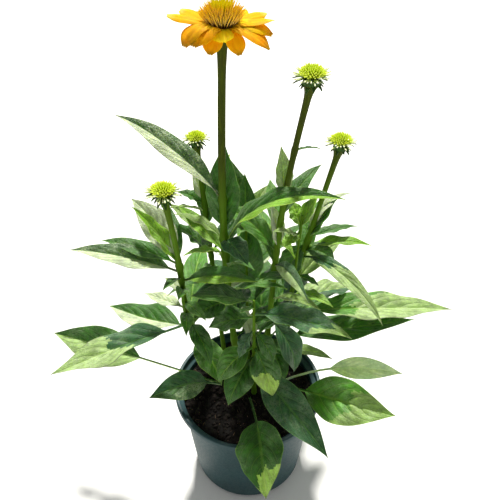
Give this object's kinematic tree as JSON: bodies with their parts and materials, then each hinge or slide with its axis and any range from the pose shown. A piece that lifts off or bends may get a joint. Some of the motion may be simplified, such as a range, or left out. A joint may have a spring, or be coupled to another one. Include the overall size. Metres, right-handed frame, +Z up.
{
  "type": "potted coneflower",
  "caption": "Potted coneflower with an open yellow flower, green buds and lance-shaped leaves on upright stems, in a round plastic nursery pot.",
  "frame": {"origin": "centre of the pot's flat underside, where the plant stands", "axes": "+Z up along the stems, +X to the right of the plant's front, -Y towards the front"},
  "size_m": [0.4768, 0.3146, 0.5743],
  "materials": {
    "pot_plastic": "satin moulded plastic",
    "potting_mix": "rough, crumbly",
    "stem": "satin, fleshy",
    "foliage": "soft satin leaf",
    "bud": "soft, spiky",
    "petal": "velvety",
    "cone": "spiky"
  },
  "bodies": {
    "root": {"pot": "pot_plastic", "potting_mix": "potting_mix", "stem_main": "stem", "leaves_main": "foliage", "stalk_main": "stem", "petals": "petal", "flower_cone": "cone", "stem_left": "stem", "leaves_left": "foliage", "stalk_left": "stem", "bud_left": "bud", "stem_back_left": "stem", "leaves_back_left": "foliage", "stalk_back_left": "stem", "bud_back_left": "bud", "stem_right": "stem", "leaves_right": "foliage", "stalk_right": "stem", "bud_right": "bud", "stem_far_right": "stem", "leaves_far_right": "foliage", "stalk_far_right": "stem", "bud_far_right": "bud", "stem_front_shoot": "stem", "leaves_front_shoot": "foliage", "stem_right_shoot": "stem", "leaves_right_shoot": "foliage", "stem_back_shoot": "stem", "leaves_back_shoot": "foliage", "leaves_front_tuft": "foliage", "leaves_right_tuft": "foliage", "leaves_left_tuft": "foliage", "leaves_back_tuft": "foliage"}
  },
  "joints": []
}
